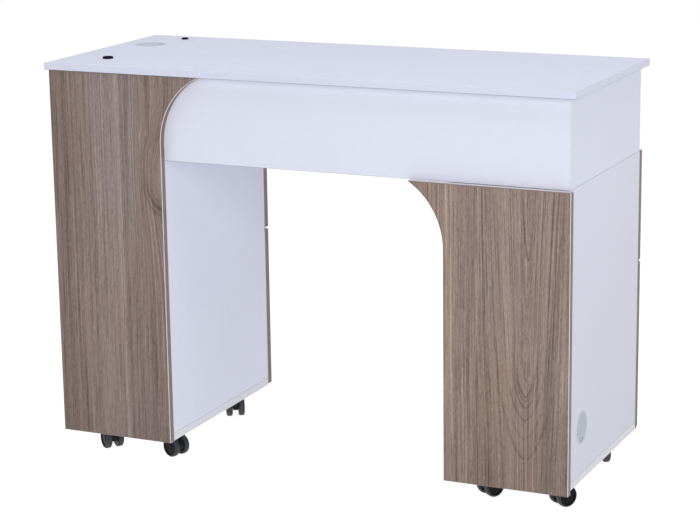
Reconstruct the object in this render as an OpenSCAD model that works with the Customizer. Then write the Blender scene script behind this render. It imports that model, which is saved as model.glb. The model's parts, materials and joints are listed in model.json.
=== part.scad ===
// Manicure table: a white tabletop and upper box on two pedestals that stand
// on twin-wheel casters. The client sits on the -Y side, where two wood-grain
// panels cover the pedestals. The technician sits on the +Y side, where each
// pedestal has a drawer above a door and the upper box has a centre drawer
// between two open cubbies. Millimetres, +Z up, origin on the floor under the
// middle of the table.

/* [Tabletop] */
// Length of the tabletop
top_l = 1056; // [1048:2:1100]
// Depth of the tabletop
top_d = 428; // [424:1:436]
// Thickness of the tabletop
top_t = 13; // [12:0.5:14]
// Height of the tabletop above the floor
height = 775; // [770:1:790]
// How far the tabletop stands past the wood panels on the client's side
front_overhang = 3; // [2:1:6]

/* [Boards] */
// Thickness of the carcass boards and wood panels
board_t = 15; // [14:0.5:16]
// Half the width of the knee space
inner_x = 284; // [280:1:290]
// Half the length over the white outer sides
outer_x = 513; // [510:1:518]
// How far the wood panels stand past the white outer sides
panel_lip = 7; // [4:1:8]
// How far the wood panels stand past the white inner sides
panel_in = 1.5; // [0.5:0.5:3]
// Depth of the pedestal carcasses
carcass_d = 405; // [404:1:412]
// Height of the pedestals' top above the floor
ped_h = 600; // [598:1:604]
// Radius of the concave arc on both wood panels
arc_r = 140; // [136:2:160]
// Height of the left panel's arc, from its vertical end to the panel's top
arc_drop = 128; // [120:1:130]
// Height of the right panel's arc
arc_drop_right = 120; // [114:1:126]

/* [Drawers and doors] */
// Height of the gap between drawer and door
split_z = 384; // [380:1:390]
// Gap between drawer and door
split_gap = 4; // [4:0.5:5]
// Thickness of drawer fronts and doors
front_t = 18; // [16:0.5:18]
// Gap between the carcass and the fronts on its back
front_gap = 2; // [2:0.1:3]
// Length of the drawer boxes
drawer_l = 350; // [320:5:360]
// Thickness of the drawer walls
wall_t = 12; // [10:1:12]
// Thickness of the drawer bottoms
bottom_t = 5; // [4:0.5:6]
// Room on each side of a drawer for its slide
slide_t = 12.7; // [12.7:0.1:13.2]
// How far the handles stand out
handle_out = 26; // [24:1:30]
// Distance between a handle's posts
handle_cc = 96; // [96:32:128]

/* [Lamp holes and cable grommets] */
// Bore of the front lamp bushing
lamp_bore = 13; // [12:0.5:13]
// Outer diameter of the front lamp bushing's flange
lamp_flange = 20.5; // [20:0.5:22]
// Bore of the rear lamp bushing
rear_bore = 10; // [9:0.5:10]
// Outer diameter of the rear lamp bushing's flange
rear_flange = 14; // [14:0.5:16]
// How far the front lamp bushing stands out of the tabletop
lamp_rim = 4; // [2:0.5:5]
// How far the rear lamp bushing stands out of the tabletop
rear_rim = 3; // [2:0.5:5]
// Outer diameter of the cable grommets
grommet_d = 60; // [60:1:62]

/* [Casters] */
// Height of the casters
caster_h = 50; // [50:1:54]
// Diameter of the wheels
wheel_d = 40; // [38:1:40]
// Width of one wheel
wheel_w = 12; // [10:0.5:12]
// Distance of the wheels' inner faces from the caster's middle
wheel_in = 6.5; // [6.5:0.5:8]
// Distance of the axle from the swivel axis
trail = 16.5; // [14:0.5:17]
// Distance of the front swivel axes from the pedestal's middle, sideways
caster_fx = 70; // [64:1:72]
// Distance of the rear swivel axes next to the knee space from the pedestal's middle, sideways
caster_rx = 65; // [62:1:72]
// Distance of the outer rear swivel axes from the pedestal's middle, sideways
caster_ro = 58; // [56:1:66]
// Distance of the front swivel axes from the carcass's client end
caster_f = 66; // [62:1:76]
// Distance of the rear swivel axes from the carcass's technician end
caster_r = 59; // [58:1:74]

/* [Hidden] */
$fn = 96;
b = board_t;
e = 0.05;                                       // play of dowels and screws in their holes
y_min = -(front_overhang + b + carcass_d + front_gap + front_t + handle_out) / 2;
y_w = y_min + front_overhang;                   // client's face of the wood panels
y_c0 = y_w + b;                                 // client's end of the carcasses
y_c1 = y_c0 + carcass_d;                        // technician's end of the carcasses
y_f0 = y_c1 + front_gap;                        // inner face of drawer fronts and doors
y_f1 = y_f0 + front_t;                          // outer face of drawer fronts and doors
y_a1 = y_c0 + b;                                // inner face of the apron
z_b0 = caster_h;                                // underside of the pedestals
z_b1 = z_b0 + b;
z_d1 = ped_h + b;                               // top of the deck board
z_t0 = height - top_t;                          // underside of the tabletop
z_m0 = split_z - b / 2;                         // board between drawer and cupboard
z_m1 = split_z + b / 2;
x_i0 = inner_x;
x_i1 = inner_x + b;
x_o0 = outer_x - b;
x_o1 = outer_x;
x_w = outer_x + panel_lip;
x_p = inner_x - panel_in;                       // knee space between the wood panels
x_c = (x_i0 + x_o1) / 2;                        // middle of a pedestal
y_cc = (y_c0 + y_c1) / 2;
function ear(drop) = arc_r - sqrt(arc_r * arc_r - drop * drop);

// drawer boxes: [x low, x high, y of the outer face, z low, z high]
side_box = [x_i1 + slide_t, x_o0 - slide_t, y_f0, split_z + 18, split_z + 168];
mid_box = [-x_i0 + slide_t, x_i0 - slide_t, y_c1 - b, z_d1 + 13, z_d1 + 113];
side_slide_z = split_z + 66;
mid_slide_z = z_d1 + 50;

// lamp bushings: [x, y, bore, flange, rim]; top grommet, side grommet
lamps = [
    [-442, y_min + 92, lamp_bore, lamp_flange, lamp_rim],
    [-436, y_min + 386, rear_bore, rear_flange, rear_rim]
];
top_grommet = [-464, y_min + 296];
side_grommet = [y_min + 98, 151];

// door pivot: its axis lies inside the door's outer edge
x_pv = x_o1 - 6;
y_pv = y_f0 + front_t / 2;

// casters: [x, y, angle the wheels trail at]
casters = [
    [-x_c - caster_fx, y_c0 + caster_f, -38],
    [-x_c + caster_fx, y_c0 + caster_f, -20],
    [-x_c + caster_rx, y_c1 - caster_r, -57],
    [-x_c - caster_ro, y_c1 - caster_r, 20],
    [x_c - caster_fx, y_c0 + caster_f, 56],
    [x_c + caster_fx, y_c0 + caster_f, 54],
    [x_c + caster_ro, y_c1 - caster_r, -57],
    [x_c - caster_rx, y_c1 - caster_r, 110]
];

// dowels: [middle, direction (0 x, 1 y, 2 z), length]
xs = [x_i0 + b / 2, x_o0 + b / 2];
dowels_side = concat(
    [for (x = xs, y = [y_c0 + 55, y_c1 - 55]) [[x, y, z_b1 + 5], 2, 29]],
    [for (y = [y_c0 + 60, y_c1 - 60]) [[xs[0], y, ped_h - 5], 2, 29]],
    [for (y = [y_c0 + 60, y_c1 - 60]) [[xs[1], y, ped_h], 2, 29]],
    [for (y = [y_c0 + 90, y_c1 - 90]) [[x_i1 + 5, y, split_z], 0, 29]],
    [for (y = [y_c0 + 90, y_c1 - 90]) [[x_o0 - 5, y, split_z], 0, 29]],
    [for (x = xs, z = [z_b1 + 70, ped_h - 60]) [[x, y_c0 + 5, z], 1, 29]],
    [for (y = [y_c0 + 110, y_c1 - 110]) [[xs[0], y, z_d1 + 5], 2, 29]],
    [for (x = xs, y = [y_c0 + 110, y_c1 - 90]) [[x, y, z_t0 - 6], 2, 27]],
    [[[xs[1], y_a1 + 5, ped_h + 90], 1, 29]],
    [for (y = [y_c0 + 120, y_c1 - 120]) [[x_o0 - 5, y, ped_h + b / 2], 0, 29]],
    [[[x_c, y_a1 + 5, ped_h + b / 2], 1, 29]],
    [[[x_c - 30, y_c0 + b / 2, z_t0 - 6], 2, 27]]
);
function flip(d) = [[-d[0][0], d[0][1], d[0][2]], d[1], d[2]];
dowels_mid = [
    [[0, y_a1 + 5, ped_h + b / 2], 1, 29],
    [[0, y_c0 + b / 2, z_t0 - 6], 2, 27]
];
dowels = concat(dowels_side, [for (d = dowels_side) flip(d)], dowels_mid);
function half(d, i) = d[1] == i ? d[2] / 2 : 4;
function hits(d, lo, hi) =
    len([for (i = [0:2]) if (d[0][i] - half(d, i) < hi[i] && d[0][i] + half(d, i) > lo[i]) 1]) == 3;

white = [0.93, 0.93, 0.96];
wood = [0.53, 0.47, 0.43];
birch = [0.80, 0.70, 0.55];
black = [0.07, 0.07, 0.08];
grey = [0.70, 0.72, 0.75];
steel = [0.74, 0.75, 0.77];

// ---------------------------------------------------------------- helpers

module box(lo, hi) { translate(lo) cube(hi - lo); }

module along(i) { rotate(i == 0 ? [0, 90, 0] : i == 1 ? [-90, 0, 0] : [0, 0, 0]) children(); }

module dowel(d, play = 0) {
    translate(d[0]) along(d[1]) cylinder(d = 8 + 2 * play, h = d[2] + 2 * play, center = true, $fn = 32);
}

// a flat board between two corners, drilled for every dowel that reaches it
module board(lo, hi) {
    difference() {
        box(lo, hi);
        for (d = dowels) if (hits(d, lo, hi)) dowel(d, e);
        children();
    }
}

module left() { mirror([1, 0, 0]) children(); }

// ---------------------------------------------------------------- upper box

module lamp_body(p, play = 0) {
    translate([p[0], p[1], height - 1.5 - play]) cylinder(d = p[3] + 2 * play, h = 1.5 + p[4] + play);
    translate([p[0], p[1], z_t0 - 5 - play]) cylinder(d = (p[2] + p[3]) / 2 + 2 * play, h = top_t + 4 + play);
}
module lamp_bushing(p) {
    difference() {
        lamp_body(p);
        translate([p[0], p[1], z_t0 - 6]) cylinder(d = p[2], h = top_t + p[4] + 7);
    }
}

// cable grommet: outer face at z = 0, body below it
module grommet_liner() {
    difference() {
        union() {
            translate([0, 0, -2]) cylinder(d = grommet_d, h = 2);
            translate([0, 0, -20]) cylinder(d = grommet_d - 6, h = 19);
        }
        translate([0, 0, -21]) cylinder(d = grommet_d - 12, h = 22);
        translate([0, 0, -3]) cylinder(d = grommet_d - 7.9, h = 4);
    }
}

module grommet_hole() {
    translate([0, 0, -2 - e]) cylinder(d = grommet_d + 2 * e, h = 4);
    translate([0, 0, -21]) cylinder(d = grommet_d - 6 + 2 * e, h = 22);
}

// the cap's notch is at its rim, towards -y: a slot for a cable, or a shallow one for the thumb
module grommet_cap(slot) {
    difference() {
        union() {
            translate([0, 0, -2.9]) cylinder(d = grommet_d - 8, h = 2.9);
            difference() {
                translate([0, 0, -10]) cylinder(d = grommet_d - 12.4, h = 8);
                translate([0, 0, -11]) cylinder(d = grommet_d - 16, h = 8.1);
            }
        }
        if (slot) {
            translate([0, 10.5 - grommet_d / 2, -12]) cylinder(d = 9, h = 14, $fn = 48);
            translate([-4.5, -grommet_d / 2, -12]) cube([9, 10.5, 14]);
        } else {
            translate([0, 2 - grommet_d / 2, -1.4]) cylinder(d = 20, h = 4, $fn = 64);
        }
    }
}

module on_top() { translate([top_grommet[0], top_grommet[1], height]) children(); }
module on_side() { translate([x_o1, side_grommet[0], side_grommet[1]]) rotate([0, 90, 0]) rotate(90) children(); }

module tabletop() {
    color(white) board([-top_l / 2, y_min, z_t0], [top_l / 2, y_min + top_d, height]) {
        for (p = lamps) lamp_body(p, e);
        on_top() grommet_hole();
    }
}
module apron() { color(white) board([-x_o1, y_c0, ped_h], [x_o1, y_a1, z_t0]); }
module right_end_panel() { color(white) board([x_o0, y_a1, ped_h], [x_o1, y_c1, z_t0]); }
module left_end_panel() { left() right_end_panel(); }
module deck_board() { color(white) board([-x_o0, y_a1, ped_h], [x_o0, y_c1, z_d1]); }
module right_divider() { color(white) board([x_i0, y_a1, z_d1], [x_i1, y_c1, z_t0]); }
module left_divider() { left() right_divider(); }
module lamp_bushings() { color(black) for (p = lamps) lamp_bushing(p); }
module grommet_liners() { color(grey) { on_top() grommet_liner(); on_side() grommet_liner(); } }
module top_grommet_cap() { color(grey) on_top() rotate(136) grommet_cap(true); }
module side_grommet_cap() { color(grey) on_side() grommet_cap(false); }

// ---------------------------------------------------------------- pedestals

// outline of a wood panel, in x and z, with its arc towards the knee space
module front_outline(top, drop) {
    difference() {
        union() {
            translate([x_p, z_b0]) square([x_w - x_p, top - z_b0]);
            translate([x_p - ear(drop) - 5, top - drop]) square([ear(drop) + 6, drop]);
        }
        translate([x_p - arc_r, top - drop]) circle(r = arc_r, $fn = 240);
    }
}
module front_panel(top, drop) {
    difference() {
        translate([0, y_c0, 0]) rotate([90, 0, 0]) linear_extrude(b) front_outline(top, drop);
        for (d = dowels) if (hits(d, [x_p, y_w, z_b0], [x_w, y_c0, top])) dowel(d, e);
    }
}
module right_front_panel() { color(wood) front_panel(ped_h, arc_drop_right); }
module left_front_panel() { color(wood) left() front_panel(z_t0, arc_drop); }

module outer_side(hole) {
    board([x_o0, y_c0, z_b1], [x_o1, y_c1, ped_h]) if (hole) on_side() grommet_hole();
}
module inner_side() { board([x_i0, y_c0, z_b1], [x_i1, y_c1, ped_h]); }
module bottom_board() {
    board([x_i0, y_c0, z_b0], [x_o1, y_c1, z_b1]) {
        for (c = casters) if (c[0] > 0) translate([c[0], c[1], 0]) plate_screws(e);
        pivot_screws(e);
    }
}
module mid_board() {
    board([x_i1, y_c0, z_m0], [x_o0, y_c1, z_m1]) upper_tongue(e);
}
module right_outer_side() { color(white) outer_side(true); }
module left_outer_side() { color(white) left() outer_side(false); }
module right_inner_side() { color(white) inner_side(); }
module left_inner_side() { color(white) left() inner_side(); }
module right_bottom_board() { color(white) bottom_board(); }
module left_bottom_board() { color(white) left() bottom_board(); }
module right_mid_board() { color(white) mid_board(); }
module left_mid_board() { color(white) left() mid_board(); }
module panel_dowels() { color(birch) for (d = dowels) dowel(d); }

// ---------------------------------------------------------------- drawers

// four walls, each a board of its own, with a groove for the bottom
module drawer_walls(k) {
    y1 = k[2];
    y0 = y1 - drawer_l;
    module groove() {
        box([k[0] + wall_t - 6, y0 + wall_t - 6, k[3] + 8 - 0.1],
            [k[1] - wall_t + 6, y1 - wall_t + 6, k[3] + 8 + bottom_t + 0.1]);
    }
    difference() { box([k[0], y0, k[3]], [k[0] + wall_t, y1, k[4]]); groove(); }
    difference() { box([k[1] - wall_t, y0, k[3]], [k[1], y1, k[4]]); groove(); }
    difference() { box([k[0] + wall_t + e, y0, k[3]], [k[1] - wall_t - e, y0 + wall_t, k[4]]); groove(); }
    difference() {
        box([k[0] + wall_t + e, y1 - wall_t, k[3]], [k[1] - wall_t - e, y1, k[4]]);
        groove();
        children();
    }
}
module drawer_bottom(k) {
    box([k[0] + wall_t - 5.5, k[2] - drawer_l + wall_t - 5.5, k[3] + 8],
        [k[1] - wall_t + 5.5, k[2] - wall_t + 5.5, k[3] + 8 + bottom_t]);
}

// steel slide: the rail is a channel on the carcass, the runner a smaller one on the drawer
module rail(y1, z) {
    translate([0, y1 - drawer_l, z]) difference() {
        translate([0, 0, -18]) cube([9, drawer_l, 36]);
        translate([1.2, -1, -16.8]) cube([10, drawer_l + 2, 33.6]);
    }
}
module runner(y1, z) {
    translate([0, y1 - drawer_l, z]) difference() {
        translate([3.5, 0, -14.7]) cube([slide_t - 3.5, drawer_l, 29.4]);
        translate([2, -1, -13.5]) cube([slide_t - 3.2, drawer_l + 2, 27]);
    }
}
module slide_pair(x0, x1) {
    translate([x0, 0, 0]) children();
    translate([x1, 0, 0]) mirror([1, 0, 0]) children();
}
module slide_rails() {
    color(steel) {
        slide_pair(x_i1, x_o0) rail(y_c1 - 2, side_slide_z);
        left() slide_pair(x_i1, x_o0) rail(y_c1 - 2, side_slide_z);
        slide_pair(-x_i0, x_i0) rail(y_c1 - b - 2, mid_slide_z);
    }
}

// bar handle on two posts, with its screws; the bar lies along x, the front's face is z = 0
module handle() {
    difference() {
        union() {
            translate([0, 0, handle_out - 5]) rotate([0, 90, 0]) cylinder(d = 10, h = handle_cc + 32, center = true, $fn = 48);
            for (s = [-1, 1]) translate([s * handle_cc / 2, 0, 0]) cylinder(d = 9, h = handle_out - 5, $fn = 48);
        }
        handle_screws(0, e);
    }
}
module handle_screws(depth, play = 0) {
    for (s = [-1, 1]) translate([s * handle_cc / 2, 0, 0]) {
        translate([0, 0, -depth - play]) cylinder(d = 4 + 2 * play, h = depth + 10 + 2 * play, $fn = 32);
        if (depth > 0 && play == 0) translate([0, 0, -depth - 2.5]) cylinder(d = 8, h = 2.5, $fn = 32);
    }
}
module on_drawer() { translate([x_c, y_f1, (split_z + ped_h) / 2]) rotate([-90, 0, 0]) children(); }
module on_door() { translate([x_i0 + 34, y_f1, split_z - 90]) rotate([-90, 0, 0]) rotate(90) children(); }

module side_drawer_front() {
    difference() {
        box([x_i0 + 1, y_f0, split_z + split_gap / 2], [x_o1 - 1, y_f1, ped_h - 1]);
        on_drawer() handle_screws(front_t + 1, e);
    }
}
module side_drawer_walls() { drawer_walls(side_box) on_drawer() handle_screws(front_t + wall_t + 1, e); }
module drawer_handle() { on_drawer() { handle(); handle_screws(front_t + wall_t); } }

module right_drawer_front() { color(wood) side_drawer_front(); }
module left_drawer_front() { color(wood) left() side_drawer_front(); }
module right_drawer_walls() { color(white) side_drawer_walls(); }
module left_drawer_walls() { color(white) left() side_drawer_walls(); }
module right_drawer_bottom() { color(white) drawer_bottom(side_box); }
module left_drawer_bottom() { color(white) left() drawer_bottom(side_box); }
module right_drawer_runners() { color(steel) slide_pair(x_i1, x_o0) runner(y_c1 - 2, side_slide_z); }
module left_drawer_runners() { left() right_drawer_runners(); }
module right_drawer_handle() { color(steel) drawer_handle(); }
module left_drawer_handle() { color(steel) left() drawer_handle(); }

// centre drawer front, set into the upper box, with a finger notch in its top edge
module centre_drawer_front() {
    w = x_i0 - 3;
    z0 = z_d1 + 3;
    z1 = z_t0 - 3;
    color(white) translate([0, y_c1, 0]) rotate([90, 0, 0]) linear_extrude(b) difference() {
        translate([-w, z0]) square([2 * w, z1 - z0]);
        translate([-55, z1 - 14]) square([110, 20]);
        translate([-41, z1 - 28]) square([82, 20]);
        for (s = [-1, 1]) translate([s * 41, z1 - 14]) circle(r = 14, $fn = 64);
    }
}
module centre_drawer_walls() { color(white) drawer_walls(mid_box); }
module centre_drawer_bottom() { color(white) drawer_bottom(mid_box); }
module centre_drawer_runners() { color(steel) slide_pair(-x_i0, x_i0) runner(y_c1 - b - 2, mid_slide_z); }

// ---------------------------------------------------------------- doors

module side_door() {
    difference() {
        box([x_i0 + 1, y_f0, z_b0 + 1], [x_o1 - 1, y_f1, split_z - split_gap / 2]);
        translate([x_pv, y_pv, z_b0]) cylinder(d = 5 + 2 * e, h = 13.5, $fn = 32);
        translate([x_pv, y_pv, split_z - 15.5]) cylinder(d = 5 + 2 * e, h = 16, $fn = 32);
        on_door() handle_screws(front_t + 1, e);
    }
}
module right_door() { color(wood) side_door(); }
module left_door() { color(wood) left() side_door(); }
module right_door_handle() { color(steel) on_door() { handle(); handle_screws(front_t); } }
module left_door_handle() { left() right_door_handle(); }

// upper pivot: a tongue in the middle board, an arm over the door and a pin into its top
module upper_tongue(play = 0) {
    box([x_o0 - 30 - play, y_c1 - 28 - play, split_z - 1 - play], [x_o0 - 1 + play, y_c1 + play, split_z + 1 + play]);
}
module upper_pivot() {
    upper_tongue();
    box([x_o0 - 30, y_c1, split_z - 1], [x_o1 - 2, y_pv + 5, split_z + 1]);
    translate([x_pv, y_pv, split_z - 14]) cylinder(d = 5, h = 14, $fn = 32);
}
// lower pivot: a plate under the bottom board and a pin into the door's underside
module lower_pivot() {
    difference() {
        box([x_o1 - 18, y_c1 - 34, z_b0 - 2.5], [x_o1 - 2, y_pv + 5, z_b0]);
        pivot_screws(e);
    }
    translate([x_pv, y_pv, z_b0 - 2.5]) cylinder(d = 5, h = 14.5, $fn = 32);
}
module pivot_screws(play = 0) {
    for (y = [y_c1 - 27, y_c1 - 11]) translate([x_o1 - 10, y, z_b0 - 2.5]) {
        translate([0, 0, -play]) cylinder(d = 3.5 + 2 * play, h = 13 + 2 * play, $fn = 24);
        if (play == 0) translate([0, 0, -2]) cylinder(d = 7, h = 2, $fn = 24);
    }
}
module door_pivots() {
    color(steel) {
        upper_pivot();
        lower_pivot();
        left() { upper_pivot(); lower_pivot(); }
    }
}

// ---------------------------------------------------------------- casters

module at_caster(i) { translate([casters[i][0], casters[i][1], 0]) rotate(casters[i][2]) children(); }

module caster_plate() {
    difference() {
        translate([-19, -19, z_b0 - 2.5]) cube([38, 38, 2.5]);
        plate_screws(e);
    }
    translate([0, 0, z_b0 - 13]) cylinder(d = 8, h = 11, $fn = 48);
}
module plate_screws(play = 0) {
    for (x = [-14, 14], y = [-14, 14]) translate([x, y, z_b0 - 2.5]) {
        translate([0, 0, -play]) cylinder(d = 3.5 + 2 * play, h = 13 + 2 * play, $fn = 24);
        if (play == 0) translate([0, 0, -2]) cylinder(d = 7, h = 2, $fn = 24);
    }
}
module caster_plates() { color(steel) for (c = casters) translate([c[0], c[1], 0]) caster_plate(); }
module hardware_screws() {
    color(steel) {
        for (c = casters) translate([c[0], c[1], 0]) plate_screws();
        pivot_screws();
        left() pivot_screws();
    }
}

// body that turns on the plate's pin: a boss, cut free of the wheels, and a round web between them
module caster_housing(i) {
    z_a = wheel_d / 2;
    web = wheel_in - 1;
    color(black) at_caster(i) difference() {
        union() {
            difference() {
                translate([0, 0, z_b0 - 15]) cylinder(d = 22, h = 12, $fn = 64);
                for (s = [0, 1]) mirror([0, s, 0]) translate([trail, web + 25, z_a]) rotate([90, 0, 0])
                    cylinder(r = z_a + 1.2, h = 25);
            }
            translate([0, web, 0]) rotate([90, 0, 0]) linear_extrude(2 * web)
                polygon([[-9, z_b0 - 4], [-9, z_b0 - 13], [trail - 13, z_a + 4], [trail, z_a], [trail + 7, z_a + 14], [9, z_b0 - 4]]);
            difference() {
                translate([trail, web, z_a]) rotate([90, 0, 0]) cylinder(r = z_a - 2.5, h = 2 * web);
                translate([trail - 30, -15, -1]) cube([60, 30, z_a - 3]);
            }
        }
        translate([0, 0, z_b0 - 14]) cylinder(d = 8 + 2 * e, h = 14, $fn = 48);
        translate([trail, 0, z_a]) rotate([90, 0, 0]) cylinder(d = 5 + 2 * e, h = 20, center = true, $fn = 32);
    }
}

// two wheels on their axle, with rounded shoulders and a dished outer face
function arc(c, r, a0, a1, n) = [for (i = [0:n]) c + r * [cos(a0 + (a1 - a0) * i / n), sin(a0 + (a1 - a0) * i / n)]];
module caster_wheels(i) {
    r = wheel_d / 2;
    profile = concat(
        [[2.5 + e, 0]],
        arc([r - 3, 3], 3, -90, 0, 4),
        arc([r - 4, wheel_w - 4], 4, 0, 90, 6),
        [[r - 5, wheel_w], [r - 6, wheel_w - 1.8], [7, wheel_w - 1.8], [6.2, wheel_w - 0.6], [2.5 + e, wheel_w - 0.6]]);
    color(black) at_caster(i) translate([trail, 0, r]) rotate([90, 0, 0]) {
        for (s = [0, 1]) mirror([0, 0, s]) translate([0, 0, wheel_in]) rotate_extrude($fn = 96) polygon(profile);
        cylinder(d = 5, h = 2 * (wheel_in + wheel_w) - 1.6, center = true, $fn = 32);
    }
}

tabletop();
apron();
left_end_panel();
right_end_panel();
deck_board();
left_divider();
right_divider();
left_front_panel();
right_front_panel();
left_outer_side();
left_inner_side();
left_bottom_board();
left_mid_board();
right_outer_side();
right_inner_side();
right_bottom_board();
right_mid_board();
lamp_bushings();
grommet_liners();
slide_rails();
caster_plates();
hardware_screws();
door_pivots();
panel_dowels();
top_grommet_cap();
side_grommet_cap();
left_drawer_front();
left_drawer_walls();
left_drawer_bottom();
left_drawer_runners();
left_drawer_handle();
right_drawer_front();
right_drawer_walls();
right_drawer_bottom();
right_drawer_runners();
right_drawer_handle();
centre_drawer_front();
centre_drawer_walls();
centre_drawer_bottom();
centre_drawer_runners();
left_door();
left_door_handle();
right_door();
right_door_handle();
caster_housing(0);  // caster_1_housing
caster_wheels(0);  // caster_1_wheels
caster_housing(1);  // caster_2_housing
caster_wheels(1);  // caster_2_wheels
caster_housing(2);  // caster_3_housing
caster_wheels(2);  // caster_3_wheels
caster_housing(3);  // caster_4_housing
caster_wheels(3);  // caster_4_wheels
caster_housing(4);  // caster_5_housing
caster_wheels(4);  // caster_5_wheels
caster_housing(5);  // caster_6_housing
caster_wheels(5);  // caster_6_wheels
caster_housing(6);  // caster_7_housing
caster_wheels(6);  // caster_7_wheels
caster_housing(7);  // caster_8_housing
caster_wheels(7);  // caster_8_wheels
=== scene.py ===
"""Manicure table: finishes, edges, light and camera around the fixed frame.

Units are metres, +Z up. The client's side is -Y, the technician's side +Y.
"""

import json
import math

import bpy
from mathutils import Matrix, Vector


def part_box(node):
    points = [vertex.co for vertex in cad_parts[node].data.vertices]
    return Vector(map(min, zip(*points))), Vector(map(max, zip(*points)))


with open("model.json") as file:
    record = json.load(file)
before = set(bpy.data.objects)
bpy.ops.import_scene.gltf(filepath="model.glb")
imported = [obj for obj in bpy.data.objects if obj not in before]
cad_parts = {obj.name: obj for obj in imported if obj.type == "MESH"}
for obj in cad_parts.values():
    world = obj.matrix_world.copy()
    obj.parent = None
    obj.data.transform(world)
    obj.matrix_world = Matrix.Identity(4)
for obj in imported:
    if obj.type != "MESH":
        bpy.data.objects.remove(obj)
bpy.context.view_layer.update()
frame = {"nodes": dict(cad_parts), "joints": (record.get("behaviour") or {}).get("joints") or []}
nodes = frame["nodes"]
scene = bpy.context.scene


# ------------------------------------------------------------------ shader writing


def lin(r, g, b):
    """8-bit display colour to a linear RGBA."""

    def one(c):
        c /= 255.0
        return c / 12.92 if c <= 0.04045 else ((c + 0.055) / 1.055) ** 2.4

    return (one(r), one(g), one(b), 1.0)


class Shader:
    """A small writer for one Principled material."""

    def __init__(self, name):
        self.m = bpy.data.materials.new(name)
        self.m.use_nodes = True
        self.t = self.m.node_tree
        self.t.nodes.clear()
        self.out = self.t.nodes.new("ShaderNodeOutputMaterial")
        self.b = self.t.nodes.new("ShaderNodeBsdfPrincipled")
        self.t.links.new(self.b.outputs[0], self.out.inputs[0])
        self._coord = None
        self._xyz = None
        self._nrm = None

    def put(self, socket, value):
        if isinstance(value, bpy.types.NodeSocket):
            self.t.links.new(value, socket)
        else:
            socket.default_value = value

    def set(self, name, value):
        self.put(self.b.inputs[name], value)

    def coord(self):
        if self._coord is None:
            self._coord = self.t.nodes.new("ShaderNodeTexCoord")
        return self._coord.outputs["Object"]

    def normal(self):
        self.coord()
        return self._coord.outputs["Normal"]

    def xyz(self):
        if self._xyz is None:
            n = self.t.nodes.new("ShaderNodeSeparateXYZ")
            self.t.links.new(self.coord(), n.inputs[0])
            self._xyz = n.outputs
        return self._xyz

    def nxyz(self):
        if self._nrm is None:
            n = self.t.nodes.new("ShaderNodeSeparateXYZ")
            self.t.links.new(self.normal(), n.inputs[0])
            self._nrm = n.outputs
        return self._nrm

    def math(self, op, a, b=None, c=None, clamp=False):
        n = self.t.nodes.new("ShaderNodeMath")
        n.operation = op
        n.use_clamp = clamp
        for s, v in zip(n.inputs, (a, b, c)):
            if v is not None:
                self.put(s, v)
        return n.outputs[0]

    def add(self, *v):
        r = v[0]
        for x in v[1:]:
            r = self.math("ADD", r, x)
        return r

    def mul(self, *v):
        r = v[0]
        for x in v[1:]:
            r = self.math("MULTIPLY", r, x)
        return r

    def sub(self, a, b):
        return self.math("SUBTRACT", a, b)

    def vec(self, x, y, z):
        n = self.t.nodes.new("ShaderNodeCombineXYZ")
        for s, v in zip(n.inputs, (x, y, z)):
            self.put(s, v)
        return n.outputs[0]

    def scaled(self, x=1.0, y=1.0, z=1.0, move=(0, 0, 0), vector=None):
        n = self.t.nodes.new("ShaderNodeMapping")
        self.put(n.inputs["Vector"], self.coord() if vector is None else vector)
        n.inputs["Scale"].default_value = (x, y, z)
        n.inputs["Location"].default_value = move
        return n.outputs[0]

    def noise(self, vector, scale=1.0, detail=2.0, rough=0.5, distortion=0.0):
        n = self.t.nodes.new("ShaderNodeTexNoise")
        n.noise_dimensions = "3D"
        self.put(n.inputs["Vector"], vector)
        n.inputs["Scale"].default_value = scale
        n.inputs["Detail"].default_value = detail
        n.inputs["Roughness"].default_value = rough
        n.inputs["Distortion"].default_value = distortion
        return n.outputs[0]

    def noise1(self, w, scale=1.0, detail=2.0, rough=0.5):
        n = self.t.nodes.new("ShaderNodeTexNoise")
        n.noise_dimensions = "1D"
        self.put(n.inputs["W"], w)
        n.inputs["Scale"].default_value = scale
        n.inputs["Detail"].default_value = detail
        n.inputs["Roughness"].default_value = rough
        return n.outputs[0]

    def cells(self, vector, scale=1.0, feature="F1"):
        n = self.t.nodes.new("ShaderNodeTexVoronoi")
        n.feature = feature
        self.put(n.inputs["Vector"], vector)
        n.inputs["Scale"].default_value = scale
        return n.outputs[0]

    def range(self, v, lo, hi, a=0.0, b=1.0, smooth=False):
        n = self.t.nodes.new("ShaderNodeMapRange")
        n.interpolation_type = "SMOOTHSTEP" if smooth else "LINEAR"
        n.clamp = True
        self.put(n.inputs["Value"], v)
        for name, x in (("From Min", lo), ("From Max", hi), ("To Min", a), ("To Max", b)):
            n.inputs[name].default_value = x
        return n.outputs[0]

    def ramp(self, v, *stops, interpolation="LINEAR"):
        n = self.t.nodes.new("ShaderNodeValToRGB")
        self.put(n.inputs[0], v)
        r = n.color_ramp
        r.interpolation = interpolation
        while len(r.elements) < len(stops):
            r.elements.new(0.5)
        for e, (p, c) in zip(r.elements, stops):
            e.position = p
            e.color = c
        return n.outputs[0]

    def mix(self, fac, a, b, blend="MIX"):
        n = self.t.nodes.new("ShaderNodeMix")
        n.data_type = "RGBA"
        n.blend_type = blend
        n.clamp_factor = True
        self.put(n.inputs[0], fac)
        self.put(n.inputs[6], a)
        self.put(n.inputs[7], b)
        return n.outputs[2]

    def bell(self, v, centre, width):
        """1 at centre, falling to nothing about two widths away."""
        d = self.math("DIVIDE", self.sub(v, centre), width)
        return self.math("EXPONENT", self.mul(d, d, -1.0))

    def bowl(self, u, tight):
        """A hyperbola: flat at u = 0, then one to one on both sides."""
        return self.sub(self.math("SQRT", self.add(self.mul(u, u), self.mul(tight, tight))), tight)

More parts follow.
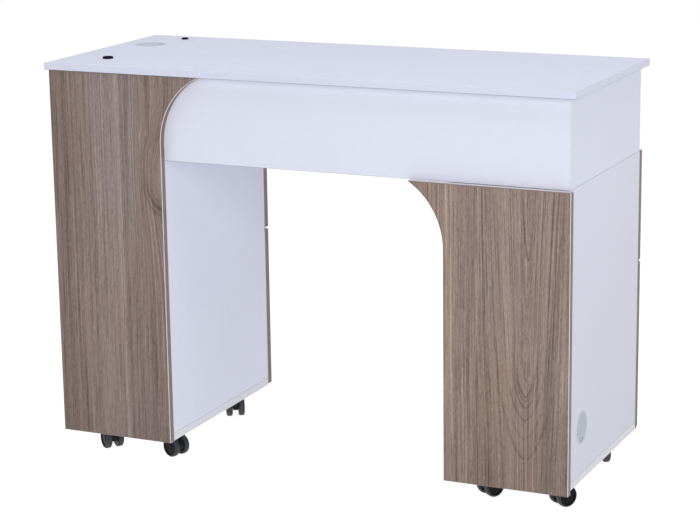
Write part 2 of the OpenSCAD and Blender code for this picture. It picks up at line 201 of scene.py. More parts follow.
    def shade(self, colour, factor):
        """Colour times a number."""
        n = self.t.nodes.new("ShaderNodeVectorMath")
        n.operation = "SCALE"
        self.put(n.inputs[0], colour)
        self.put(n.inputs["Scale"], factor)
        return n.outputs[0]

    def bump(self, height, strength, distance):
        n = self.t.nodes.new("ShaderNodeBump")
        self.put(n.inputs["Height"], height)
        n.inputs["Strength"].default_value = strength
        n.inputs["Distance"].default_value = distance
        self.t.links.new(n.outputs[0], self.b.inputs["Normal"])


# ------------------------------------------------------------------ finishes


def melamine(name, axis, foot=1.0, band_lo=(212, 214, 227), band_hi=(219, 220, 232)):
    """White melamine board. axis is the board's thickness: the four faces round it are edge bands.

    foot darkens the board towards the floor: painted shade.
    """
    s = Shader("melamine_" + name)
    p = s.coord()
    cloud = s.noise(p, 2.3, 3, 0.55)
    mottle = s.noise(p, 46, 4, 0.6)
    speck = s.noise(p, 950, 2, 0.6)
    n = dict(zip("xyz", s.nxyz()))[axis]
    band = s.range(s.math("ABSOLUTE", n), 0.55, 0.8, 1.0, 0.0)
    base = s.ramp(
        s.add(s.mul(cloud, 0.45), s.mul(mottle, 0.35), s.mul(speck, 0.2)),
        (0.30, lin(213, 215, 229)),
        (0.50, lin(216, 218, 232)),
        (0.70, lin(219, 221, 235)),
    )
    # the edge band is a separate strip: a shade duller, with faint lines along it
    lines = s.noise(s.scaled(*[(1400 if a == axis else 4) for a in "xyz"]), 1.0, 2, 0.5)
    strip = s.ramp(
        lines,
        (0.35, lin(*band_lo)),
        (0.65, lin(*band_hi)),
    )
    z = s.xyz()[2]
    # painted shade: the face darkens towards the floor by the factor foot
    face = s.shade(base, s.range(z, 0.08, 0.62, foot, 1.0 - (1.0 - foot) * 0.25))
    s.set("Base Color", s.mix(band, face, strip))
    s.set("Roughness", s.add(s.range(mottle, 0.3, 0.7, 0.40, 0.50), s.mul(band, -0.06)))
    s.set("Specular IOR Level", 0.36)
    s.bump(s.add(s.mul(speck, 0.6), s.mul(s.noise(p, 320, 2, 0.5), 0.4)), 0.12, 0.0004)
    return s.m


def melamine_arris(name, below):
    """The thin glue line where an edge band meets the face. below is its grey on the down-facing edges, a painted
    shadow line.
    """
    s = Shader(name)
    v = s.noise(s.coord(), 160, 3, 0.6)
    glue_grey = s.ramp(v, (0.3, lin(200, 202, 215)), (0.7, lin(212, 214, 228)))
    # painted shadow: the down-facing arrises take the darker grey below
    painted_shadow_grey = s.ramp(v, (0.3, lin(below, below, below + 8)), (0.7, lin(below + 14, below + 14, below + 22)))
    s.set("Base Color", s.mix(s.range(s.nxyz()[2], -0.45, -0.10, 1.0, 0.0), glue_grey, painted_shadow_grey))
    s.set("Roughness", s.range(v, 0.3, 0.7, 0.38, 0.5))
    s.set("Specular IOR Level", 0.3)
    return s.m


def wood(name, axis, seed, steep=30.0, round_low=0.14, round_high=0.03, sense=1, figure=1.0, tone=(0.97, 0.96, 0.95), foot_shade=1.0, pinch=0.0, arches=(), streaks=(), knots=(), burls=(), warmth=()):
    """Grey-brown wood-grain laminate on a panel that faces Y, grain along Z.

    axis is the x of the cathedral figure, whose arches open upwards where sense is 1, and are rounder at the foot of
    the panel than at its head; figure is its strength. tone tints the print, partly the print's own tone and partly
    painted light, lighter on the right panel than on the left; foot_shade darkens the foot of the panel as painted
    shade.
    arches are single rings: (x, z of the apex, curvature, width, left depth, right depth, reach). streaks are single
    stripes along the grain: (x, width, amount). knots push the fibres aside: (x, z, half width, half height, push,
    rim).
    burls part the fibres: (x, z, half width, half height, amount). warmth makes stripes browner: (x, width, amount).
    pinch draws the fibres together at the axis towards the foot.
    """
    s = Shader("wood_" + name)
    x, y, z = s.xyz()
    # the fibres wander a little along the board, and lean round the knots
    sway = s.noise(s.scaled(2.2, 2.2, 1.2, (seed, seed * 0.7, 0)), 1.0, 2, 0.5)
    wave = s.noise(s.scaled(16.0, 16.0, 4.0, (0, seed, seed)), 1.0, 2, 0.5)
    quiver = s.noise(s.scaled(120.0, 120.0, 34.0, (seed, seed, 0)), 1.0, 2, 0.5)
    v0 = s.add(
        x,
        s.mul(s.sub(sway, 0.5), 0.014),
        s.mul(s.sub(wave, 0.5), 0.0026),
        s.mul(s.sub(quiver, 0.5), 0.0007),
    )
    lean = s.sub(v0, axis)
    near = s.math("EXPONENT", s.mul(lean, lean, -1.0 / 0.055**2))
    v0 = s.add(v0, s.mul(lean, near, s.range(z, 0.10, 0.62, pinch, 0.0)))
    calm = 1.0
    heart = 0.0
    for kx, kz, kw, kh, push, dark in knots:
        dx = s.math("DIVIDE", s.sub(x, kx), kw)
        dz = s.math("DIVIDE", s.sub(z, kz), kh)
        e = s.math("EXPONENT", s.mul(s.add(s.mul(dx, dx), s.mul(dz, dz)), -1.0))
        v0 = s.add(v0, s.mul(e, push))
        inside = s.range(e, 0.48, 0.72, smooth=True)
        calm = s.mul(calm, s.sub(1.0, s.mul(inside, 2.2 * dark)))
        rim = s.add(s.bell(e, 0.485, 0.045), s.mul(s.bell(e, 0.36, 0.03), 0.5), s.mul(s.bell(e, 0.60, 0.03), 0.35))
        rim = s.mul(rim, s.range(dz, -0.45, 0.15, 1.0, 0.15))
        heart = s.add(heart, s.mul(s.sub(s.mul(inside, 0.16), rim), dark))
    for kx, kz, kw, kh, part in burls:
        dx = s.sub(x, kx)
        ex = s.math("DIVIDE", dx, kw)
        ez = s.math("DIVIDE", s.sub(z, kz), kh)
        e = s.math("EXPONENT", s.mul(s.add(s.mul(ex, ex), s.mul(ez, ez)), -1.0))
        v0 = s.sub(v0, s.mul(dx, e, part))
        heart = s.add(heart, s.mul(s.sub(s.noise(s.scaled(90, 90, 60, (seed, 5, 0)), 1.0, 3, 0.6), 0.46), e, 0.5))
    u = s.sub(v0, axis)
    tight = s.range(z, 0.08, 0.50, round_low, round_high)
    bow = s.mul(s.bowl(u, tight), steep)
    jitter = s.mul(s.sub(s.noise(s.scaled(14, 14, 5.0, (seed, 0, 3)), 1.0, 4, 0.6), 0.5), 0.07)
    p = s.add(z, jitter, s.mul(bow, -sense))

    # growth rings: a slow darkening that ends at a line, of uneven width and strength
    t = s.add(s.mul(p, 13.0), s.mul(s.noise1(s.add(p, seed), 7.0, 2, 0.5), 2.6))
    saw = s.math("FRACT", t)
    late = s.mul(s.math("POWER", saw, 3.0), s.range(saw, 0.88, 1.0, 1.0, 0.1, smooth=True))
    ring = s.mul(late, s.range(s.noise1(s.add(p, seed * 2.0), 4.3, 3, 0.6), 0.36, 0.66, 0.0, 1.0))
    band = s.noise1(s.add(p, seed * 3.0), 4.5, 6, 0.66)

    # straight fibres: a soft ground, thin dark lines of three widths and thin light ones, each with its own fading
    def along(wide, long, shift, detail=1.0):
        return s.noise(s.vec(s.mul(v0, wide), s.mul(y, 20), s.add(s.mul(z, long), seed + shift)), 1.0, detail, 0.5)

    ground = along(62, 1.0, 0.0, 3)
    soft = along(190, 2.0, 1.7)
    thick = s.mul(s.range(along(230, 0.9, 3.1), 0.55, 0.70), s.range(along(70, 4.0, 9.0), 0.36, 0.60, 0.15, 1.0))
    thin = s.mul(s.range(along(400, 1.6, 5.3), 0.52, 0.66), s.range(along(110, 6.0, 11.0), 0.34, 0.58, 0.25, 1.0))
    hair = s.mul(s.range(along(760, 4.0, 7.7), 0.50, 0.66), s.range(along(160, 11.0, 13.0), 0.34, 0.58, 0.2, 1.0))
    light = s.mul(s.range(along(330, 1.4, 15.1), 0.55, 0.70), s.range(along(90, 5.0, 17.0), 0.38, 0.60, 0.1, 1.0))
    grit = s.noise(s.vec(s.mul(v0, 620), s.mul(y, 90), s.mul(z, 130)), 1.0, 2, 0.6)
    fleck = s.noise(s.vec(s.mul(v0, 420), s.mul(y, 60), s.mul(z, 48)), 1.0, 2, 0.6)
    pore = s.range(
        s.noise(s.vec(s.mul(v0, 900), s.mul(y, 200), s.mul(z, 75)), 1.0, 1, 0.5),
        0.60,
        0.72,
    )
    v = s.add(
        0.60,
        heart,
        s.mul(s.sub(band, 0.5), 0.26 * figure),
        s.mul(s.sub(ground, 0.5), 0.18),
        s.mul(s.sub(soft, 0.5), 0.12, calm),
        s.mul(thick, calm, -0.09),
        s.mul(thin, calm, -0.19),
        s.mul(hair, -0.34),
        s.mul(light, calm, 0.27),
        s.mul(s.sub(grit, 0.5), 0.54),
        s.mul(s.sub(fleck, 0.5), 0.40),
        s.mul(ring, calm, -0.20 * figure),
        s.mul(pore, -0.16),
    )
    rag = s.mul(s.sub(s.noise(s.scaled(70, 70, 40, (seed, 1, 0)), 1.0, 3, 0.6), 0.5), 0.009)
    for ax, az, curve, width, left, right, reach in arches:
        au = s.add(s.sub(x, ax), s.mul(s.sub(wave, 0.5), 0.005), s.mul(s.sub(quiver, 0.5), 0.0024))
        tt = steep / (2.0 * curve)
        root = s.math("SQRT", s.add(s.mul(au, au), tt * tt))
        slope = s.math("DIVIDE", s.mul(au, steep), root)
        rise = s.mul(s.sub(root, tt), steep * sense)
        gap = s.add(s.sub(s.sub(z, az), rise), rag)
        off = s.math("DIVIDE", gap, s.math("SQRT", s.add(s.mul(slope, slope), 1.0)))
        # sharp on the outside, fading inwards
        fade = s.math("DIVIDE", s.math("MAXIMUM", s.mul(off, sense), 0.0), width * 2.2)
        edge = s.math("DIVIDE", s.math("MINIMUM", s.mul(off, sense), 0.0), width * 0.6)
        line = s.math("EXPONENT", s.mul(s.add(s.mul(fade, fade), s.mul(edge, edge)), -1.0))
        side = s.range(au, -0.004, 0.004, left, right, smooth=True)
        high = s.range(s.math("ABSOLUTE", s.sub(z, az)), 0.15 * reach, reach, 1.0, 0.0, smooth=True)
        v = s.sub(v, s.mul(line, side, high, s.range(grit, 0.35, 0.6, 1.3, 0.7)))
    for sx, width, amount in streaks:
        v = s.add(v, s.mul(s.bell(v0, sx, width), amount))

    def c(r, g, b):
        return tuple(t * k for t, k in zip(tone, lin(r, g, b))) + (1.0,)

    face = s.ramp(
        v,
        (0.05, c(92, 77, 72)),
        (0.30, c(117, 101, 95)),
        (0.50, c(135, 119, 112)),
        (0.70, c(152, 137, 129)),
        (0.95, c(174, 159, 151)),
    )
    # the print drifts between a warm and a faintly violet grey; the face is also darkened towards the floor as painted
    # shade
    hue = s.noise(s.vec(s.mul(v0, 13), s.mul(y, 10), s.add(s.mul(z, 2.4), seed)), 1.0, 2, 0.5)
    for wx, width, amount in warmth:
        hue = s.sub(hue, s.mul(s.bell(x, wx, width), amount))
    warm = s.mix(1.0, face, (1.03, 0.997, 0.955, 1), "MULTIPLY")
    cool = s.mix(1.0, face, (0.975, 0.997, 1.05, 1), "MULTIPLY")
    face = s.mix(s.range(hue, 0.36, 0.64), warm, cool)
    face = s.shade(face, s.range(z, 0.04, 0.34, foot_shade, 1.0, smooth=True))
    # edge band: the grain runs along the strip; the upper edges are left pale
    ny = s.nxyz()[1]
    edge = s.range(s.math("ABSOLUTE", ny), 0.55, 0.8, 1.0, 0.0)
    run = s.noise(s.scaled(7, 900, 7, (0, seed, 0)), 1.0, 3, 0.6)
    strip = s.ramp(run, (0.30, lin(104, 89, 86)), (0.5, lin(124, 109, 105)), (0.70, lin(143, 128, 122)))
    bare = s.ramp(run, (0.30, lin(190, 185, 188)), (0.70, lin(211, 206, 209)))
    strip = s.mix(s.range(s.nxyz()[2], 0.6, 0.8), strip, bare)
    s.set("Base Color", s.mix(edge, face, strip))
    s.set("Roughness", s.range(v, 0.2, 0.8, 0.56, 0.44))
    s.set("Specular IOR Level", 0.30)
    s.bump(
        s.add(s.mul(thin, -0.5), s.mul(hair, -0.4), s.mul(pore, -0.5), s.mul(ring, -0.3)),
        0.22,
        0.0005,
    )
    return s.m


def wood_arris():
    """The rounded corners of the edge band: pale where they face right and on the upper rear edges, a painted
    highlight; else brown.
    """
    s = Shader("wood_arris")
    v = s.noise(s.scaled(60, 60, 14), 1.0, 3, 0.6)
    pale = s.ramp(v, (0.3, lin(196, 183, 181)), (0.7, lin(220, 208, 206)))
    brown = s.ramp(v, (0.3, lin(108, 93, 87)), (0.7, lin(140, 125, 118)))
    nx, ny, nz = s.nxyz()
    # painted highlight: the arrises facing right, towards the lamps, and the upper rear ones are pale
    painted_glint = s.mul(s.range(nx, 0.08, 0.25), s.range(nz, 0.3, 0.6, 1.0, 0.0))
    rear = s.mul(s.range(nz, 0.10, 0.25), s.range(ny, 0.02, 0.15))
    painted_glint = s.math("MAXIMUM", painted_glint, rear)
    s.set("Base Color", s.mix(painted_glint, brown, pale))
    s.set("Roughness", s.range(v, 0.3, 0.7, 0.38, 0.5))
    s.set("Specular IOR Level", 0.3)
    return s.m


def drawer_board():
    """Drawer walls: a white linen-print foil."""
    s = Shader("drawer_board")
    p = s.coord()
    warp = s.noise(s.scaled(1600, 1600, 60), 1.0, 2, 0.5)
    weft = s.noise(s.scaled(60, 60, 1600), 1.0, 2, 0.5)
    cloth = s.mul(s.add(warp, weft), 0.5)
    cloud = s.noise(p, 7, 3, 0.5)
    s.set(
        "Base Color",
        s.ramp(
            s.add(s.mul(cloth, 0.7), s.mul(cloud, 0.3)),
            (0.34, lin(203, 204, 210)),
            (0.66, lin(228, 229, 234)),
        ),
    )
    s.set("Roughness", s.range(cloth, 0.35, 0.65, 0.58, 0.46))
    s.set("Specular IOR Level", 0.35)
    s.bump(cloth, 0.18, 0.0004)
    return s.m


def hardboard():
    """Drawer bottoms: painted on top, bare brown fibre with a screen print underneath."""
    s = Shader("hardboard")
    p = s.coord()
    fibres = s.noise(s.scaled(240, 240, 240), 1.0, 4, 0.65, 1.2)
    screen = s.cells(s.scaled(700, 700, 20), 1.0)
    n = s.nxyz()[2]
    up = s.range(n, 0.2, 0.6)
    paint = s.ramp(s.noise(p, 30, 4, 0.6), (0.3, lin(208, 209, 214)), (0.7, lin(226, 227, 232)))
    brown = s.ramp(
        s.add(s.mul(fibres, 0.7), s.mul(screen, 0.4)),
        (0.25, lin(92, 66, 44)),
        (0.55, lin(128, 96, 66)),
        (0.85, lin(158, 126, 92)),
    )
    s.set("Base Color", s.mix(up, brown, paint))
    s.set("Roughness", s.range(up, 0.0, 1.0, 0.85, 0.5))
    s.bump(s.add(s.mul(fibres, 0.5), s.mul(screen, 0.5)), 0.2, 0.0004)
    return s.m


def dowel_wood():
    s = Shader("dowel_wood")
    grain = s.noise(s.scaled(260, 260, 260), 1.0, 4, 0.6, 0.6)
    s.set("Base Color", s.ramp(grain, (0.3, lin(176, 140, 98)), (0.7, lin(214, 182, 138))))
    s.set("Roughness", s.range(grain, 0.3, 0.7, 0.7, 0.55))
    s.bump(grain, 0.3, 0.0004)
    return s.m


def plastic(name, dark, light, rough=(0.32, 0.46), grain=1500.0, depth=0.16, gloss=0.45):
    """Moulded plastic with a fine spark-eroded texture and faint flow marks."""
    s = Shader(name)
    p = s.coord()
    spark = s.noise(p, grain, 3, 0.62)
    flow = s.noise(p, 38, 4, 0.6, 0.8)
    s.set(
        "Base Color",
        s.ramp(s.add(s.mul(spark, 0.45), s.mul(flow, 0.55)), (0.32, dark), (0.68, light)),
    )
    s.set("Roughness", s.add(s.range(flow, 0.3, 0.7, rough[0], rough[1]), s.mul(spark, 0.06)))
    s.set("Specular IOR Level", gloss)
    s.bump(spark, depth, 0.0003)
    return s.m


def brushed_steel(name, axis):
    """Satin steel, brushed along axis."""
    s = Shader(name)
    brush = s.noise(s.scaled(*[(12 if a == axis else 1900) for a in "xyz"]), 1.0, 3, 0.6)
    cloud = s.noise(s.coord(), 30, 3, 0.5)
    s.set("Base Color", s.ramp(brush, (0.3, lin(158, 159, 162)), (0.7, lin(206, 207, 209))))
    s.set("Metallic", 1.0)
    s.set("Roughness", s.add(s.range(brush, 0.3, 0.7, 0.36, 0.26), s.mul(cloud, 0.06)))
    s.bump(brush, 0.10, 0.0002)
    return s.m


def zinc():
    """Zinc-plated sheet: a cool grey with faint yellow and blue clouds and fine rolling lines."""
    s = Shader("zinc_steel")
    p = s.coord()
    cloud = s.noise(p, 55, 4, 0.6, 0.7)
    roll = s.noise(s.scaled(900, 25, 900), 1.0, 3, 0.6)
    tint = s.ramp(
        cloud,
        (0.28, lin(150, 158, 172)),
        (0.50, lin(186, 188, 190)),
        (0.72, lin(200, 194, 176)),
    )
    s.set("Base Color", s.shade(tint, s.range(roll, 0.3, 0.7, 0.88, 1.05)))
    s.set("Metallic", 1.0)
    s.set("Roughness", s.add(s.range(cloud, 0.3, 0.7, 0.28, 0.42), s.mul(roll, 0.06)))
    s.bump(roll, 0.08, 0.0002)
    return s.m


def wheel(name, centre, axle):
    """Twin wheel: grey tread, black moulded discs. centre is the wheel's middle and axle its direction."""
    s = Shader(name)
    p = s.coord()
    d = s.t.nodes.new("ShaderNodeVectorMath")
    d.operation = "SUBTRACT"
    s.put(d.inputs[0], p)
    d.inputs[1].default_value = centre
    dot = s.t.nodes.new("ShaderNodeVectorMath")
    dot.operation = "DOT_PRODUCT"
    s.put(dot.inputs[0], d.outputs[0])
    dot.inputs[1].default_value = axle
    length = s.t.nodes.new("ShaderNodeVectorMath")
    length.operation = "LENGTH"
    s.put(length.inputs[0], d.outputs[0])
    a = dot.outputs["Value"]
    r = s.math("SQRT", s.math("MAXIMUM", s.sub(s.mul(length.outputs["Value"], length.outputs["Value"]), s.mul(a, a)), 0.0))
    spark = s.noise(p, 1300, 3, 0.6)
    scuff = s.noise(s.vec(s.mul(a, 900), s.mul(r, 60), 0.3), 1.0, 4, 0.65)
    dust = s.noise(p, 120, 4, 0.65)
    tread = s.range(r, 0.0164, 0.0171)
    hub = s.ramp(s.add(s.mul(spark, 0.5), s.mul(dust, 0.5)), (0.3, lin(7, 7, 8)), (0.7, lin(16, 16, 18)))
    tyre = s.ramp(s.add(s.mul(scuff, 0.6), s.mul(dust, 0.4)), (0.3, lin(36, 37, 39)), (0.7, lin(62, 63, 66)))
    s.set("Base Color", s.mix(tread, hub, tyre))
    s.set("Roughness", s.range(tread, 0.0, 1.0, 0.34, 0.52))
    s.set("Specular IOR Level", s.range(tread, 0.0, 1.0, 0.14, 0.36))
    s.bump(s.add(s.mul(spark, 0.5), s.mul(scuff, 0.5)), 0.15, 0.0003)
    return s.m


MEL = {a: melamine(a, a) for a in "xyz"}
# the outer sides carry painted shade, darker towards the floor
MEL["outer"] = melamine("outer", "x", foot=0.90)
MEL["top"] = melamine("top", "z", band_lo=(202, 205, 222), band_hi=(208, 211, 228))
MEL["bottom"] = melamine("bottom", "z", band_lo=(210, 211, 219), band_hi=(218, 219, 227))
MEL_ARRIS = melamine_arris("melamine_arris", 198)
# the tabletop's and apron's down-facing arrises are dark: painted shadow lines under the tabletop's overhang and at
# the apron's foot
TOP_ARRIS = melamine_arris("tabletop_arris", 92)
APRON_ARRIS = melamine_arris("apron_arris", 110)
WOOD_ARRIS = wood_arris()
BLACK = plastic("black_plastic", lin(5, 5, 6), lin(13, 13, 15), (0.55, 0.66), 1500.0, 0.16, 0.08)
GREY = plastic("grey_plastic", lin(184, 187, 200), lin(200, 202, 215), (0.40, 0.52), 1300.0, 0.14, 0.35)
SIDE_GREY = plastic("side_grey_plastic", lin(168, 174, 185), lin(184, 190, 201), (0.40, 0.52), 1300.0, 0.14, 0.3)
CASTER = plastic("caster_plastic", lin(8, 8, 9), lin(19, 19, 21), (0.34, 0.48), 1100.0, 0.2, 0.2)
STEEL = {a: brushed_steel("satin_steel_" + a, a) for a in "xz"}
ZINC = zinc()
BOARD = drawer_board()
HARD = hardboard()
DOWEL = dowel_wood()


# ------------------------------------------------------------------ finishing the frame's own pieces


def shape_group(name, angle, shortest, rims=(), rest=1.0):
    """Shades smoothly between sharp edges, and marks the sharp outer edges over a length for rounding.

    rims are round outer edges: (x, y, least radius, least z, mark). The other edges are marked with rest.
    """
    g = bpy.data.node_groups.new(name, "GeometryNodeTree")
    g.interface.new_socket("Geometry", in_out="INPUT", socket_type="NodeSocketGeometry")
    g.interface.new_socket("Geometry", in_out="OUTPUT", socket_type="NodeSocketGeometry")
    new = g.nodes.new
    link = g.links.new
    bend = new("GeometryNodeInputMeshEdgeAngle")
    ends = new("GeometryNodeInputMeshEdgeVertices")
    size = new("ShaderNodeVectorMath")
    size.operation = "DISTANCE"
    link(ends.outputs["Position 1"], size.inputs[0])
    link(ends.outputs["Position 2"], size.inputs[1])

    def over(socket, limit):
        n = new("ShaderNodeMath")
        n.operation = "GREATER_THAN"
        link(socket, n.inputs[0])
        n.inputs[1].default_value = limit
        return n.outputs[0]

    both = new("ShaderNodeMath")
    both.operation = "MULTIPLY"
    link(over(bend.outputs["Signed Angle"], math.radians(angle)), both.inputs[0])
    link(over(size.outputs["Value"], shortest), both.inputs[1])

    mark = both.outputs[0]
    if rims:
        place = new("GeometryNodeInputPosition")
        far = None
        for x, y, radius, z, amount in rims:
            off = new("ShaderNodeVectorMath")
            off.operation = "SUBTRACT"
            link(place.outputs[0], off.inputs[0])
            off.inputs[1].default_value = (x, y, 0)
            flat = new("ShaderNodeVectorMath")
            flat.operation = "MULTIPLY"
            link(off.outputs[0], flat.inputs[0])
            flat.inputs[1].default_value = (1, 1, 0)
            dist = new("ShaderNodeVectorMath")
            dist.operation = "LENGTH"
            link(flat.outputs[0], dist.inputs[0])
            axes = new("ShaderNodeSeparateXYZ")
            link(place.outputs[0], axes.inputs[0])
            near = new("ShaderNodeMath")
            near.operation = "LESS_THAN"
            link(dist.outputs["Value"], near.inputs[0])
            near.inputs[1].default_value = 0.05
            found = over(dist.outputs["Value"], radius)
            for other in (over(axes.outputs[2], z), near.outputs[0]):
                n = new("ShaderNodeMath")
                n.operation = "MULTIPLY"
                link(found, n.inputs[0])
                link(other, n.inputs[1])
                found = n.outputs[0]
            n = new("ShaderNodeMath")
            n.operation = "MULTIPLY"
            link(found, n.inputs[0])
            n.inputs[1].default_value = amount - rest
            found = n.outputs[0]
            if far is None:
                far = found
            else:
                n = new("ShaderNodeMath")
                n.operation = "MAXIMUM"
                link(far, n.inputs[0])
                link(found, n.inputs[1])
                far = n.outputs[0]
        part = new("ShaderNodeMath")
        part.operation = "ADD"
        link(far, part.inputs[0])
        part.inputs[1].default_value = rest
        n = new("ShaderNodeMath")
        n.operation = "MULTIPLY"
        link(mark, n.inputs[0])
        link(part.outputs[0], n.inputs[1])
        mark = n.outputs[0]

    weight = new("GeometryNodeStoreNamedAttribute")
    weight.data_type = "FLOAT"
    weight.domain = "EDGE"
    weight.inputs["Name"].default_value = "bevel_weight_edge"
    link(mark, weight.inputs["Value"])
    sharp = new("GeometryNodeStoreNamedAttribute")
    sharp.data_type = "BOOLEAN"
    sharp.domain = "EDGE"
    sharp.inputs["Name"].default_value = "sharp_edge"
    link(over(bend.outputs["Unsigned Angle"], math.radians(angle)), sharp.inputs["Value"])
    smooth = new("GeometryNodeSetShadeSmooth")
    smooth.inputs["Shade Smooth"].default_value = True
    chain = [new("NodeGroupInput"), weight, sharp, smooth, new("NodeGroupOutput")]
    for a, b in zip(chain, chain[1:]):
        link(a.outputs[0], b.inputs[0])
    return g


def join_group():
    """Joins the corners that the frame's file keeps apart, and drops the normals that it carries."""
    g = bpy.data.node_groups.new("join", "GeometryNodeTree")
    g.interface.new_socket("Geometry", in_out="INPUT", socket_type="NodeSocketGeometry")
    g.interface.new_socket("Geometry", in_out="OUTPUT", socket_type="NodeSocketGeometry")
    plain = g.nodes.new("GeometryNodeRemoveAttribute")
    plain.inputs["Name"].default_value = "custom_normal"
    merge = g.nodes.new("GeometryNodeMergeByDistance")
    merge.inputs["Distance"].default_value = 0.000004
    chain = [g.nodes.new("NodeGroupInput"), plain, merge, g.nodes.new("NodeGroupOutput")]
    for a, b in zip(chain, chain[1:]):
        g.links.new(a.outputs[0], b.inputs[0])
    return g


JOIN = join_group()
BOARD_EDGES = shape_group("board_edges", 35.0, 0.0020)
ROUND_EDGES = shape_group("round_edges", 38.0, 0.0)
BUSHING_EDGES = shape_group(
    "bushing_edges", 38.0, 0.0, [(-0.442, -0.1425, 0.0090, 0.7765, 1.0), (-0.436, 0.1515, 0.0068, 0.7765, 0.6)], 0.12
)


def finish_node(name, material, width=0.0, segments=2, arris=None, edges=BOARD_EDGES):
    """Gives a node its material, and rounds its sharp outer edges by width. arris is the material of the rounding."""
    o = nodes[name]
    o.data.materials.clear()
    o.data.materials.append(material)
    if arris is not None:
        o.data.materials.append(arris)
    for poly in o.data.polygons:
        poly.material_index = 0
    o.modifiers.new("join", "NODES").node_group = JOIN
    d = o.modifiers.new("flat faces", "DECIMATE")
    d.decimate_type = "DISSOLVE"
    d.angle_limit = math.radians(0.4)
    o.modifiers.new("shape", "NODES").node_group = edges
    if width > 0:
        b = o.modifiers.new("edges", "BEVEL")
        b.width = width
        b.segments = segments
        b.limit_method = "WEIGHT"
        b.use_clamp_overlap = False
        b.loop_slide = False
        b.harden_normals = True
        if arris is not None:
            b.material = 1
    return o


for name, axis in {
    "tabletop": "top",
    "apron": "y",
    "left_end_panel": "x",
    "right_end_panel": "x",
    "deck_board": "z",
    "left_divider": "x",
    "right_divider": "x",
    "left_outer_side": "outer",
    "left_inner_side": "x",
    "left_bottom_board": "bottom",
    "left_mid_board": "z",
    "right_outer_side": "outer",
    "right_inner_side": "x",
    "right_bottom_board": "bottom",
    "right_mid_board": "z",
    "centre_drawer_front": "y",
}.items():
    finish_node(name, MEL[axis], 0.0008, 2, {"tabletop": TOP_ARRIS, "apron": APRON_ARRIS}.get(name, MEL_ARRIS))

WOOD = {
    "left_front_panel": dict(
        axis=-0.200,
        seed=3.0,
        sense=-1,
        figure=0.8,
        # tone: partly this panel's own print, partly painted shade, darker than the right panel as if further from the
        # lamps
        tone=(0.864, 0.855, 0.864),
        foot_shade=0.88,
        knots=[(-0.282, 0.578, 0.042, 0.080, 0.030, 0.32), (-0.284, 0.490, 0.026, 0.110, 0.012, 0.0)],
        burls=[(-0.322, 0.648, 0.016, 0.016, 0.80)],
        warmth=[(-0.500, 0.030, 0.25), (-0.290, 0.030, 0.18)],
        streaks=[
            (-0.508, 0.018, -0.14),
            (-0.4745, 0.0016, -0.20),
            (-0.488, 0.0016, -0.10),
            (-0.451, 0.0016, 0.16),
            (-0.405, 0.030, 0.10),
            (-0.372, 0.0016, 0.14),
            (-0.372, 0.012, 0.10),
            (-0.3085, 0.0014, -0.16),
        ],
    ),
    "right_front_panel": dict(
        axis=0.440,
        seed=7.0,
        # tone: partly this panel's own print, partly painted light, lighter than the left panel as if lit from the
        # right
        tone=(1.010, 0.970, 0.915),
        foot_shade=0.83,
        figure=0.8,
        pinch=0.9,
        burls=[(0.4405, 0.256, 0.012, 0.026, 0.70)],
        arches=[
            (0.4424, 0.474, 900.0, 0.0016, 0.50, 0.16, 0.17),
            (0.4412, 0.430, 900.0, 0.0010, 0.16, 0.18, 0.12),
            (0.4412, 0.389, 900.0, 0.0012, 0.26, 0.20, 0.14),
            (0.4405, 0.330, 900.0, 0.0010, 0.18, 0.14, 0.12),
            (0.4405, 0.254, 900.0, 0.0014, 0.26, 0.20, 0.05),
            (0.4396, 0.2257, 130.0, 0.0013, 0.40, 0.28, 0.10),
            (0.4396, 0.2180, 110.0, 0.0010, 0.24, 0.18, 0.10),
            (0.4397, 0.2053, 90.0, 0.0013, 0.34, 0.20, 0.10),
            (0.4390, 0.1830, 60.0, 0.0014, 0.28, 0.18, 0.11),
            (0.4390, 0.1480, 55.0, 0.0010, 0.16, 0.12, 0.12),
            (0.4400, 0.1100, 50.0, 0.0013, 0.34, 0.20, 0.17),
        ],
        streaks=[
            (0.296, 0.016, 0.06),
            (0.3576, 0.0016, -0.20),
            (0.3727, 0.0018, -0.16),
            (0.395, 0.012, 0.10),
            (0.4665, 0.0014, 0.18),
            (0.4919, 0.0016, -0.20),
            (0.5011, 0.0014, -0.18),
            (0.508, 0.010, -0.08),
        ],
    ),
    "left_drawer_front": dict(axis=-0.38, seed=11.0),
    "left_door": dict(axis=-0.38, seed=11.0),
    "right_drawer_front": dict(axis=0.43, seed=15.0, sense=-1),
    "right_door": dict(axis=0.43, seed=15.0, sense=-1),
}
for name, kinds in WOOD.items():
    finish_node(name, wood(name, **kinds), 0.0014, 3, WOOD_ARRIS)

for side in ("left", "right", "centre"):
    finish_node(f"{side}_drawer_walls", BOARD, 0.0008)
    finish_node(f"{side}_drawer_bottom", HARD)
    finish_node(f"{side}_drawer_runners", ZINC, 0.0002, 1)
for side in ("left", "right"):
    finish_node(f"{side}_drawer_handle", STEEL["x"], 0.0006, edges=ROUND_EDGES)
    finish_node(f"{side}_door_handle", STEEL["z"], 0.0006, edges=ROUND_EDGES)
finish_node("lamp_bushings", BLACK, 0.0024, 4, edges=BUSHING_EDGES)
finish_node("grommet_liners", GREY, 0.0004, edges=ROUND_EDGES)
finish_node("top_grommet_cap", GREY, 0.0005, edges=ROUND_EDGES)
finish_node("side_grommet_cap", SIDE_GREY, 0.0005, edges=ROUND_EDGES)
finish_node("slide_rails", ZINC, 0.0002, 1)
finish_node("caster_plates", ZINC, 0.0003, 1)
finish_node("hardware_screws", ZINC, 0.0002, 1, edges=ROUND_EDGES)
finish_node("door_pivots", ZINC, 0.0002, 1, edges=ROUND_EDGES)
finish_node("panel_dowels", DOWEL, 0.0005, 1, edges=ROUND_EDGES)
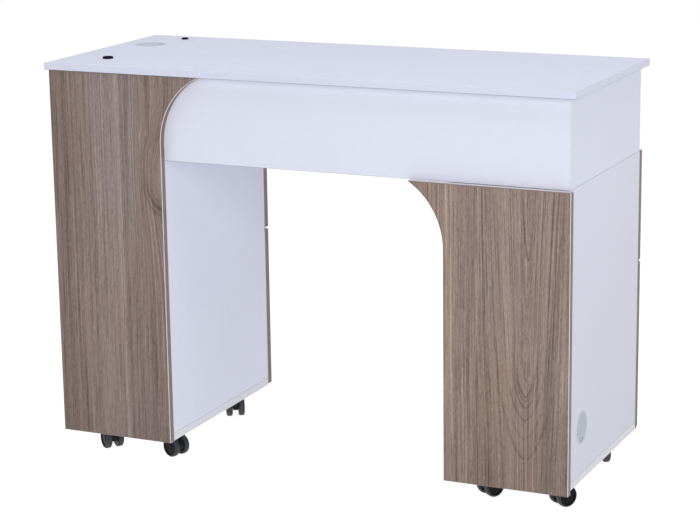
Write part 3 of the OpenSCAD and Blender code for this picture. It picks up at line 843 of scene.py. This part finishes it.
for i in range(1, 9):
    finish_node(f"caster_{i}_housing", CASTER, 0.0005, edges=ROUND_EDGES)
    lo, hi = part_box(f"caster_{i}_wheels")
    joint = next(j for j in frame["joints"] if j["name"] == f"caster_{i}_roll")
    centre = (lo + hi) / 2
    finish_node(
        f"caster_{i}_wheels", wheel(f"caster_wheel_{i}", centre, Vector(joint["axis"]).normalized()), edges=ROUND_EDGES
    )


# ------------------------------------------------------------------ floor, light, camera


def floor():
    m = bpy.data.meshes.new("floor")
    r = 40.0
    m.from_pydata([(-r, -r, 0), (r, -r, 0), (r, r, 0), (-r, r, 0)], [], [(0, 1, 2, 3)])
    o = bpy.data.objects.new("floor", m)
    scene.collection.objects.link(o)
    s = Shader("floor_white")
    v = s.noise(s.coord(), 1.5, 3, 0.5)
    s.set("Base Color", s.ramp(v, (0.3, (0.19, 0.19, 0.195, 1)), (0.7, (0.21, 0.21, 0.215, 1))))
    s.set("Roughness", 0.9)
    s.set("Specular IOR Level", 0.0)
    s.set("Emission Color", (1, 1, 1, 1))
    s.set("Emission Strength", 0.93)
    m.materials.append(s.m)


floor()

world = bpy.data.worlds.new("studio")
scene.world = world
world.use_nodes = True
bg = world.node_tree.nodes["Background"]
bg.inputs["Color"].default_value = (1.0, 1.0, 1.0, 1)
bg.inputs["Strength"].default_value = 0.30


def area(name, at, to, size, watts, colour=(1, 1, 1)):
    light = bpy.data.lights.new(name, "AREA")
    light.shape = "RECTANGLE"
    light.size, light.size_y = size
    light.energy = watts
    light.color = colour
    o = bpy.data.objects.new(name, light)
    scene.collection.objects.link(o)
    o.location = at
    o.rotation_euler = (Vector(to) - Vector(at)).to_track_quat("-Z", "Y").to_euler()
    return o


area("key", (1.6, -4.6, 2.6), (0.0, 0.0, 0.45), (2.6, 2.0), 65)
area("fill", (2.7, -2.6, 1.6), (0.2, 0.0, 0.45), (1.4, 1.4), 18)
area("top", (0.0, -0.5, 4.5), (0.0, 0.0, 0.4), (4.0, 3.0), 128, (0.925, 0.955, 1.0))
area("side", (2.8, -0.5, 2.2), (0.5, 0.0, 0.45), (1.6, 1.6), 7.8, (0.92, 0.94, 1.0))

cam = bpy.data.cameras.new("camera")
cam.sensor_fit = "HORIZONTAL"
cam.sensor_width = 36.0
cam.lens = 110.287
cam.clip_start, cam.clip_end = 0.1, 200.0
cam_o = bpy.data.objects.new("camera", cam)
scene.collection.objects.link(cam_o)
right = Vector((0.90962992, 0.41520307, -0.01340918))
up = Vector((-0.08383853, 0.21509715, 0.97298732))
back = Vector((0.40687159, -0.88393417, 0.23046883))
m = Matrix((right, up, back)).transposed().to_4x4()
m.translation = Vector((1.67729, -3.65346, 1.34568))
cam_o.matrix_world = m
scene.camera = cam_o

scene.view_settings.view_transform = "Standard"
scene.view_settings.look = "None"
